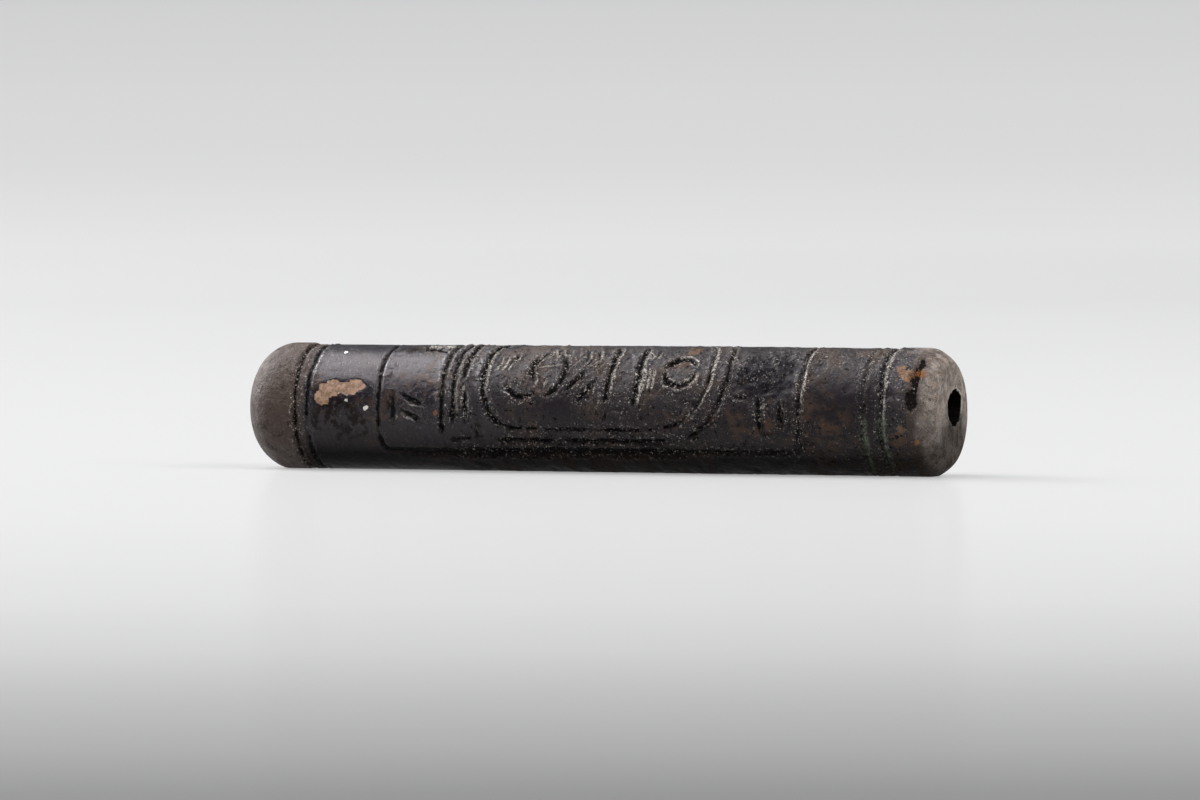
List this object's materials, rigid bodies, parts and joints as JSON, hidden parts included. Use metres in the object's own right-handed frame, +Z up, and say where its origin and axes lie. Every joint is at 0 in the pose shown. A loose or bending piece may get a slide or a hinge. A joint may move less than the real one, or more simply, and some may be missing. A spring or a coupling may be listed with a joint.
{
  "type": "cylinder seal",
  "caption": "Slim dark glazed stone cylinder seal with a hole along it, turned rings near each end, and a framed panel with an oval and rows of shallow gouged strokes.",
  "frame": {"origin": "middle of the narrow flat along the underside, halfway along the seal, at the lowest point", "axes": "+X along the seal towards its chamfered end, +Z up, and the front panel faces -Y"},
  "size_m": [0.0468, 0.0082, 0.008],
  "materials": {
    "glazed_steatite": "worn dark glaze over stone, satin where it is whole, with crust in the grooves and one tan patch of bare stone"
  },
  "bodies": {
    "root": {"cylinder_seal": "glazed_steatite"}
  },
  "joints": []
}
